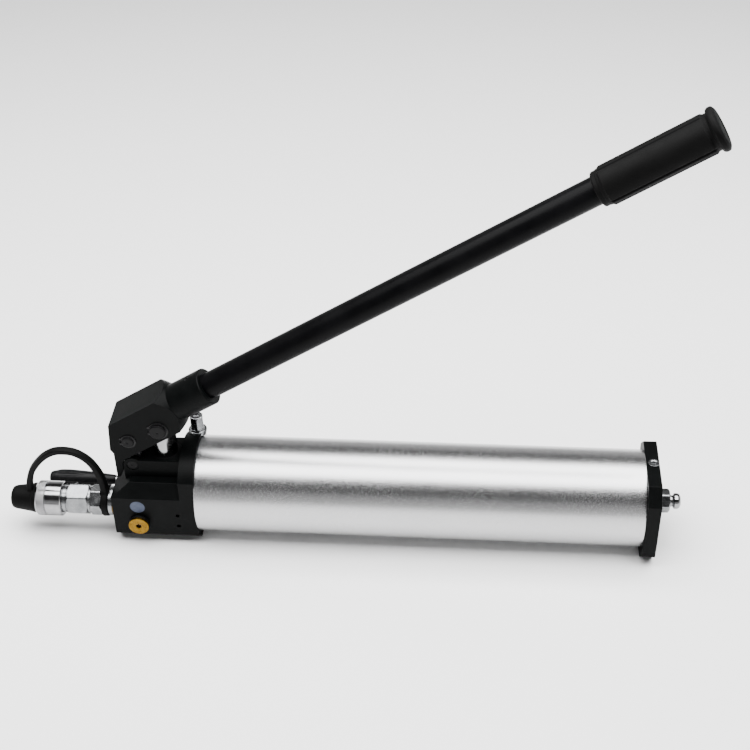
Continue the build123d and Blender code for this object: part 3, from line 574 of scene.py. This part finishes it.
def make_strap():
    """The dust cap's strap: an arch that widens into a ring round the nipple."""
    bm = bmesh.new()
    coupler_axis = Matrix.Translation(Vector((0, OUTLET_Y, OUTLET_Z)) * MM)
    lean = coupler_axis @ Matrix.Rotation(STRAP_LEAN, 4, "X")
    stations = strap_stations()
    rings = []
    for index, (point, share) in enumerate(stations):
        before = stations[max(index - 1, 0)][0]
        after = stations[min(index + 1, len(stations) - 1)][0]
        along = (after - before).normalized()
        across = Vector((along.y, -along.x))
        half_width = widened(STRAP_HALF_WIDTH, share, extra=1.5, start=0.7)
        half_thickness = widened(STRAP_HALF_THICKNESS, share, extra=0.7, start=0.75)
        ring = []
        for corner in range(STRAP_SIDES):
            angle = TAU * corner / STRAP_SIDES
            side = squared_off(math.cos(angle)) * half_width
            lift = squared_off(math.sin(angle)) * half_thickness
            spot = point + across * lift
            ring.append(bm.verts.new(lean @ (Vector((spot.x, side, spot.y)) * MM)))
        rings.append(ring)
    for lower, upper in zip(rings, rings[1:]):
        for corner in range(STRAP_SIDES):
            following = (corner + 1) % STRAP_SIDES
            bm.faces.new((lower[corner], lower[following], upper[following], upper[corner]))
    bm.faces.new(rings[0])
    bm.faces.new(rings[-1])
    ring_profile = [(8.7, 6.9), (16.6, 6.9), (16.6, 14.1), (8.7, 14.1), (8.7, 6.9)]
    add_turned(bm, softened(ring_profile, 1.4), OUTLET_PLACE)
    rough = mesh_piece("strap_before_smoothing", bm, "moulded_rubber", None, None)
    remesh = rough.modifiers.new("merge", "REMESH")
    remesh.mode = "VOXEL"
    remesh.voxel_size = STRAP_VOXEL * MM
    soften_shape = rough.modifiers.new("soften", "SMOOTH")
    soften_shape.factor = SMOOTHING
    soften_shape.iterations = SMOOTHING_PASSES
    bpy.context.view_layer.update()
    evaluated = rough.evaluated_get(bpy.context.evaluated_depsgraph_get())
    merged = bpy.data.meshes.new_from_object(evaluated)
    bpy.data.objects.remove(rough)
    merged.shade_smooth()
    strap = bpy.data.objects.new("moulded_strap", merged)
    bpy.context.scene.collection.objects.link(strap)
    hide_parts("cap_strap")
    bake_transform(strap)


# --- the release valve ------------------------------------------------------------------

RELEASE_Y = 20.0
RELEASE_Z = 31.0
KNOB_START_X = -55.0
GLAND_FLATS = 17
FLUTES = 8
FLUTE_START = 22
FLUTE_LEAST_RADIUS = 6
FLUTE_CENTRE = 11.0              # from the knob's axis to the axis of the round cutter
FLUTE_RADIUS = 3.0


def flute(angle, height, radius):
    """Long grooves cut into the knob by a round cutter."""
    if height < FLUTE_START or radius < FLUTE_LEAST_RADIUS:
        return radius
    from_centre = (angle * FLUTES / TAU) % 1 - 0.5
    across = FLUTE_CENTRE * math.sin(from_centre * TAU / FLUTES)
    if abs(across) > FLUTE_RADIUS:
        return radius
    along = FLUTE_CENTRE * math.cos(from_centre * TAU / FLUTES)
    return min(radius, along - math.sqrt(FLUTE_RADIUS**2 - across**2))


def make_release_valve():
    """The fluted knob and the hexagon gland it turns in."""
    knob = [
        (4.1, 0), (4.8, 0), (5.4, 3), (7.9, 27), (9.2, 50), (9.0, 60), (6.8, 70), (5.0, 71.5),
        (0, 71.5),
    ]
    knob_place = axis_frame((KNOB_START_X, RELEASE_Y, RELEASE_Z), LEFT)
    turned("fluted_knob", knob, knob_place, "knob_plastic", "release_valve", ["release_knob"],
           corner=1.0, step=1.2, relief=flute)
    gland = [
        (4.1, 8.0), (7.6, 8.0, GLAND_FLATS), (9.6, 7.0, GLAND_FLATS), (9.6, 0.9, GLAND_FLATS),
        (8.4, 0, GLAND_FLATS), (7.9, 0), (7.9, -13.8), (4.1, -13.8), (4.1, 8.0),
    ]
    gland_place = axis_frame((HEAD_LEFT_X, RELEASE_Y, RELEASE_Z), LEFT)
    turned("hexagon_gland", gland, gland_place, "plated_steel", "pump_body", ["release_gland"],
           corner=0.3, step=0.8)


# --- plugs and screws -------------------------------------------------------------------


RELIEF_FACE = (-17.0, -41.0, 28.5)
RELIEF_SOCKET_FLATS = 5.5
FILLER_AXIS_BASE = (38.8, 27.5, 0)
FILLER_TURN = 12
FILLER_FLATS = 13
TIE_ROD_Z = 48.0
NUT_START = (513.7, 0, TIE_ROD_Z)
END_NUT_FLATS = 22
END_NUT_TURN = 22
VENT_START = (528.7, 0, TIE_ROD_Z)
SCREW_SEAT = (507.75, 0, 94.03)
SCREW_TURN = 10
SCREW_SOCKET_FLATS = 5.2


def make_relief_plug():
    """The brass plug: a face with a hexagon socket, and a groove with a dark ring behind it."""
    place = axis_frame(RELIEF_FACE, FRONT)
    plug = [
        (0, -4.9), (6.4, -4.9), (6.4, 0.05), (8.6, 0.05), (8.6, 3.4), (10.5, 3.4), (10.5, 6.5),
        (3.9, 6.5), (3.2, 5.9, RELIEF_SOCKET_FLATS), (3.2, 2.0, RELIEF_SOCKET_FLATS), (0, 2.0),
    ]
    turned("brass_relief_plug", plug, place, "brass", "pump_body", ["relief_plug"],
           corner=0.35, step=0.5)
    ring = [(8.7, 0.1), (10.0, 0.1), (10.3, 0.7), (10.3, 2.7), (10.0, 3.3), (8.7, 3.3), (8.7, 0.1)]
    turned("relief_plug_ring", ring, place, "seal_rubber", "pump_body", None, corner=0.3)


def make_filler():
    """The hexagon filler fitting with its flange."""
    place = axis_frame(FILLER_AXIS_BASE, UP, FILLER_TURN)
    fitting = [
        (0, 83.5), (3.9, 83.5), (3.9, 96.5), (6.6, 96.5), (6.6, 97.3), (9.6, 97.3), (9.6, 100.3),
        (7.9, 100.3), (7.0, 101.2), (6.9, 102.6), (6.2, 102.8, FILLER_FLATS),
        (7.6, 103.8, FILLER_FLATS), (7.6, 117.3, FILLER_FLATS), (6.0, 118.5, FILLER_FLATS),
        (3.4, 118.5), (3.4, 116.0), (0, 115.6),
    ]
    turned("filler_fitting", fitting, place, "plated_steel", "pump_body", ["filler_plug"],
           corner=0.3, step=0.7)


def make_end_fittings():
    """The nut, the vent nipple and the screw on the end cap."""
    nut = [
        (6.1, 1.6), (10.4, 1.6, END_NUT_FLATS), (12.4, 3.0, END_NUT_FLATS),
        (12.4, 13.4, END_NUT_FLATS), (10.4, 15.0, END_NUT_FLATS), (6.1, 15.0), (6.1, 1.6),
    ]
    nut_place = axis_frame(NUT_START, RIGHT, END_NUT_TURN)
    turned("tie_rod_nut", nut, nut_place, "plated_steel", "pump_body", ["end_nut"],
           corner=0.35, step=0.6)
    vent = [
        (0, -8.7), (3.0, -8.7), (3.0, 0.3), (6.2, 0.3), (6.2, 1.8), (5.6, 2.3), (6.4, 3.4), (8.2, 4.4),
        (8.4, 7.4), (7.6, 9.6), (5.0, 11.2), (1.8, 11.5), (1.4, 10.6), (0, 10.5),
    ]
    vent_place = axis_frame(VENT_START, RIGHT)
    turned("vent_nipple", vent, vent_place, "polished_steel", "vent", ["vent_cap"], corner=0.6)
    screw = [
        (0, -9), (2.95, -9), (2.95, 0), (5.5, 0), (5.5, 5.4), (3.4, 5.4),
        (2.75, 4.9, SCREW_SOCKET_FLATS), (2.75, 1.9, SCREW_SOCKET_FLATS), (0, 1.9),
    ]
    screw_place = axis_frame(SCREW_SEAT, UP, SCREW_TURN)
    turned("socket_cap_screw", screw, screw_place, "plated_steel", "pump_body", ["cap_screw"],
           corner=0.4, step=0.5)


# --- pins and clips ---------------------------------------------------------------------

FULCRUM_PIN_X = -22.5
FULCRUM_PIN_Z = 120.5
PLUNGER_PIN_X = 10.0
PLUNGER_PIN_Z = 136.0
LINK_PIN_X = -22.0
LINK_PIN_Z = 88.0
CLIP_GROOVE_START = 19.6
CLIP_GROOVE_END = 20.7
CLIP_GROOVE_DEPTH = 0.7
CLIP_INNER_Y = 19.62
CLIP_OUTER_Y = 20.62
CLIP_STEPS = 90
CLIP_OPENING = math.radians(17)
CLIP_SEAT = 0.6                  # how far the clip reaches into the pin
CLIP_LEAST_HEIGHT = 1.0
CLIP_SWELL = 0.7
CLIP_LUG = math.radians(13)
CLIP_LUG_HEIGHT = 1.6
CLIP_LUG_FOOT = 0.3
PIN_CHAMFER = 0.9
PIN_DRILLING = 1.2


def add_clip(bm, pin_radius, x, z, side):
    """Adds a circlip that is thickest opposite its opening, with a lug at each end."""
    lower = []
    upper = []
    for index in range(CLIP_STEPS + 1):
        turn = CLIP_OPENING + (TAU - 2 * CLIP_OPENING) * index / CLIP_STEPS
        angle = math.pi + turn
        from_end = min(turn, TAU - turn) - CLIP_OPENING
        reach = pin_radius + CLIP_LEAST_HEIGHT + CLIP_SWELL * (0.5 - 0.5 * math.cos(turn))
        if from_end < CLIP_LUG:
            rise = CLIP_LUG_FOOT + (1 - CLIP_LUG_FOOT) * (1 - from_end / CLIP_LUG)
            reach += CLIP_LUG_HEIGHT * math.sin(math.pi * rise / 2)
        for row, radius in ((lower, pin_radius - CLIP_SEAT), (upper, reach)):
            for y in (side * CLIP_INNER_Y, side * CLIP_OUTER_Y):
                spot = Vector((x + radius * math.cos(angle), y, z + radius * math.sin(angle)))
                row.append(bm.verts.new(spot * MM))
    for index in range(CLIP_STEPS):
        a = 2 * index
        b = a + 2
        bm.faces.new((lower[a], lower[b], upper[b], upper[a]))
        bm.faces.new((lower[a + 1], upper[a + 1], upper[b + 1], lower[b + 1]))
        bm.faces.new((upper[a], upper[b], upper[b + 1], upper[a + 1]))
        bm.faces.new((lower[a], lower[a + 1], lower[b + 1], lower[b]))
    for end in (0, 2 * CLIP_STEPS):
        bm.faces.new((lower[end], upper[end], upper[end + 1], lower[end + 1]))


def mirrored(end):
    """A whole profile from its upper end: the lower end is the same."""
    return [(radius, -height) for radius, height in reversed(end)] + end


def make_pins():
    """The two pins of the fork with rounded ends and centre drillings, their circlips, and the
    plain pin of the link."""
    clips = bmesh.new()
    for name, node, radius, half, x, z in (
        ("fulcrum_pin_turned", "fulcrum_pin", 6.5, 22.5, FULCRUM_PIN_X, FULCRUM_PIN_Z),
        ("plunger_pin_turned", "plunger_pin", 8.7, 23.5, PLUNGER_PIN_X, PLUNGER_PIN_Z),
    ):
        neck = radius - CLIP_GROOVE_DEPTH
        profile = mirrored([
            (radius, CLIP_GROOVE_START), (neck, CLIP_GROOVE_START), (neck, CLIP_GROOVE_END),
            (radius, CLIP_GROOVE_END), (radius, half - PIN_CHAMFER), (radius - PIN_CHAMFER, half),
            (PIN_DRILLING, half), (0, half - PIN_CHAMFER),
        ])
        turned(name, profile, axis_frame((x, 0, z), FRONT), "black_steel", "lever", [node],
               corner=0.25)
        for side in (-1, 1):
            add_clip(clips, radius, x, z, side)
    mesh_piece("circlips", clips, "spring_steel", "lever", ["pin_clips"])
    link = mirrored([(6.0, 18.5), (5.3, 19.2), (1.4, 19.2), (0, 18.2)])
    link_place = axis_frame((LINK_PIN_X, 0, LINK_PIN_Z), FRONT)
    turned("link_pin_turned", link, link_place, "black_steel", "pump_body", ["link_pin"],
           corner=0.25)


# --- tubes and the grip -----------------------------------------------------------------

TUBE_AXIS_Z = 50.5
LONG_STEP = 20
LEVER_ANGLE = math.radians(32.6)
LEVER_RISE = 9.0                 # the lever's axis above the plunger pin
LEVER_ALONG = (math.cos(LEVER_ANGLE), 0, math.sin(LEVER_ANGLE))
LEVER_ORIGIN = (
    PLUNGER_PIN_X - LEVER_RISE * LEVER_ALONG[Z], 0, PLUNGER_PIN_Z + LEVER_RISE * LEVER_ALONG[X],
)
LEVER_PLACE = axis_frame(LEVER_ORIGIN, LEVER_ALONG)
GRIP_SEGMENTS = 360
GRIP_PANEL_ANGLE = math.radians(150.6)
GRIP_GROOVES = [math.radians(step) for step in (54, 78, 102, 126)]
GRIP_GROOVE_WIDTH = math.radians(5.5)
RAISED_START = 507.5
RAISED_END = 606.5
RAISED_HEIGHT = 1.4
RAISED_LEAST_RADIUS = 16
RUN_OUT_START = 1.2
RUN_OUT_END = 2.0


def raised_grip(angle, height, radius):
    """Smooth panels and lengthwise ribs along the grip, with rounded grooves between them."""
    if not (RAISED_START < height < RAISED_END and radius > RAISED_LEAST_RADIUS):
        return radius
    from_panel = abs((angle - GRIP_PANEL_ANGLE + math.pi) % TAU - math.pi)
    nearest = min(abs(from_panel - groove) for groove in GRIP_GROOVES)
    crest = min(1.0, nearest / GRIP_GROOVE_WIDTH)
    run_in = (height - RAISED_START) / RUN_OUT_START
    run_out = (RAISED_END - height) / RUN_OUT_END
    rounded = crest * crest * (3 - 2 * crest)
    return radius + RAISED_HEIGHT * min(1.0, run_in, run_out) * rounded


def make_tubes_and_grip():
    """The oil tube, the lever's tube and its ribbed grip."""
    oil = [
        (46.0, 44.05), (49.5, 44.05), (50.0, 44.5), (50.0, 499.5), (49.5, 499.95), (46.0, 499.95),
        (46.0, 44.05),
    ]
    tube_place = axis_frame((0, 0, TUBE_AXIS_Z), RIGHT)
    turned("oil_tube", oil, tube_place, "satin_aluminium", "pump_body", ["reservoir_tube"],
           corner=0.2, step=LONG_STEP)
    bar = [(10.25, 26.3), (13.25, 26.3), (13.25, 611.3), (10.25, 611.3), (10.25, 26.3)]
    turned("lever_bar", bar, LEVER_PLACE, "black_paint", "lever", ["lever_tube"],
           corner=0.3, step=LONG_STEP)
    grip = [
        (13.3, 500.0), (15.8, 500.0), (16.7, 501.2), (16.7, 504.6), (17.1, 505.4), (17.3, 507.0),
        (17.3, 609.4), (19.4, 609.8), (20.8, 612.0), (20.6, 615.4), (17.4, 617.2), (11.0, 617.5),
        (10.2, 617.0), (0, 616.9),
    ]
    bm = bmesh.new()
    shaped = divided(softened(grip, 1.0), 1.0)
    add_turned(bm, shaped, LEVER_PLACE, raised_grip, segments=GRIP_SEGMENTS)
    mesh_piece("ribbed_grip", bm, "moulded_rubber", "lever", ["lever_grip"])


# --- valve springs ----------------------------------------------------------------------

SPRING_STEPS = 40                # per turn
SPRING_SIDES = 12
SUCTION_Z = 22


def make_spring(node, radius, wire, turns, fixed_end, moving_end):
    """A coil spring that is squeezed between the pump and the valve that it pushes on. The
    radius is the coil's, and the wire is given by its radius."""
    start = Vector(fixed_end)
    axis = Vector(moving_end) - start
    place = axis_frame(fixed_end, axis)
    length = axis.length - 2 * wire
    steps = SPRING_STEPS * turns
    bm = bmesh.new()
    rings = []
    for step in range(steps + 1):
        angle = TAU * turns * step / steps
        height = wire + length * step / steps
        outward = Vector((math.cos(angle), math.sin(angle), 0))
        ring = []
        for side in range(SPRING_SIDES):
            around = TAU * side / SPRING_SIDES
            spot = outward * (radius + wire * math.cos(around))
            spot.z = height + wire * math.sin(around)
            ring.append(bm.verts.new(place @ (spot * MM)))
        rings.append(ring)
    for lower, upper in zip(rings, rings[1:]):
        for side in range(SPRING_SIDES):
            following = (side + 1) % SPRING_SIDES
            bm.faces.new((lower[side], lower[following], upper[following], upper[side]))
    bm.faces.new(rings[0])
    bm.faces.new(rings[-1])
    spring = mesh_piece(node + "_coil", bm, "spring_steel", None, [node])
    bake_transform(spring)


def make_springs():
    """The springs of the two check valves, the relief valve and the coupler."""
    make_spring("inlet_spring", radius=3.0, wire=0.4, turns=4,
                fixed_end=(26.1, 0, SUCTION_Z), moving_end=(33.5, 0, SUCTION_Z))
    make_spring("outlet_spring", radius=3.0, wire=0.4, turns=6,
                fixed_end=(-32.9, OUTLET_Y, OUTLET_Z), moving_end=(-17.6, OUTLET_Y, OUTLET_Z))
    make_spring("relief_spring", radius=4.4, wire=0.7, turns=3,
                fixed_end=(RELIEF_FACE[X], -35.9, RELIEF_FACE[Z]),
                moving_end=(RELIEF_FACE[X], -29.7, RELIEF_FACE[Z]))
    make_spring("coupler_spring", radius=5.0, wire=0.6, turns=8,
                fixed_end=(-74.7, OUTLET_Y, OUTLET_Z), moving_end=(-116.1, OUTLET_Y, OUTLET_Z))


make_coupler()
make_strap()
make_release_valve()
make_relief_plug()
make_filler()
make_end_fittings()
make_pins()
make_tubes_and_grip()
make_springs()


# --- the setting ------------------------------------------------------------------------

CAMERA_PLACE = Vector((0.3190, -1.0622, 1.0351))
CAMERA_YAW = -0.0854
CAMERA_PITCH = 0.6643
CAMERA_ROLL = -0.0218
CAMERA_LENS = 66.68
CAMERA_SENSOR = 36
FLOOR_HALF = 6.0


def make_camera():
    """A camera in front of the pump and above it."""
    ahead = Vector((
        math.sin(CAMERA_YAW) * math.cos(CAMERA_PITCH),
        math.cos(CAMERA_YAW) * math.cos(CAMERA_PITCH),
        -math.sin(CAMERA_PITCH),
    ))
    level = Vector((math.cos(CAMERA_YAW), -math.sin(CAMERA_YAW), 0))
    up = level.cross(ahead)
    right = math.cos(CAMERA_ROLL) * level + math.sin(CAMERA_ROLL) * up
    top = math.cos(CAMERA_ROLL) * up - math.sin(CAMERA_ROLL) * level
    turn = Matrix((right, top, -ahead)).transposed()
    data = bpy.data.cameras.new("camera")
    data.lens = CAMERA_LENS
    data.sensor_width = CAMERA_SENSOR
    camera = bpy.data.objects.new("camera", data)
    camera.matrix_world = Matrix.Translation(CAMERA_PLACE) @ turn.to_4x4()
    bpy.context.scene.collection.objects.link(camera)
    bpy.context.scene.camera = camera


def make_light(name, place, target, size, power):
    """A rectangular area light aimed at a point."""
    data = bpy.data.lights.new(name, "AREA")
    data.shape = "RECTANGLE"
    data.size, data.size_y = size
    data.energy = power
    light = bpy.data.objects.new(name, data)
    light.location = place
    direction = Vector(target) - Vector(place)
    light.rotation_euler = direction.to_track_quat("-Z", "Y").to_euler()
    bpy.context.scene.collection.objects.link(light)


def make_floor():
    """A plain pale floor under the pump."""
    s = Shader("floor", (0.86, 0.86, 0.86), 0.0, 0.6)
    s.colour(s.noise(3, detail=2), (0.85, 0.85, 0.85), (0.87, 0.87, 0.87))
    mesh = bpy.data.meshes.new("floor")
    corners = [
        (x * FLOOR_HALF, y * FLOOR_HALF, 0) for x, y in ((-1, -1), (1, -1), (1, 1), (-1, 1))
    ]
    mesh.from_pydata(corners, [], [(0, 1, 2, 3)])
    mesh.materials.append(s.material)
    floor = bpy.data.objects.new("floor", mesh)
    bpy.context.scene.collection.objects.link(floor)


def make_world():
    """Studio surroundings: bright near the horizon, dark overhead beside the softbox."""
    world = bpy.data.worlds.new("studio")
    world.use_nodes = True
    tree = world.node_tree
    background = tree.nodes["Background"]
    direction = tree.nodes.new("ShaderNodeTexCoord")
    parts = tree.nodes.new("ShaderNodeSeparateXYZ")
    falloff = tree.nodes.new("ShaderNodeMapRange")
    falloff.interpolation_type = "SMOOTHSTEP"
    for socket, value in (("From Min", 0.22), ("From Max", 0.55), ("To Min", 0.75), ("To Max", 0.04)):
        falloff.inputs[socket].default_value = value
    tree.links.new(direction.outputs["Generated"], parts.inputs["Vector"])
    tree.links.new(parts.outputs["Z"], falloff.inputs["Value"])
    tree.links.new(falloff.outputs["Result"], background.inputs["Strength"])
    background.inputs["Color"].default_value = (1, 1, 1, 1)
    bpy.context.scene.world = world


make_camera()
make_floor()
make_world()
make_light("softbox", place=(0.25, 0.04, 1.45), target=(0.25, 0.06, 0), size=(2.8, 1.5), power=150)
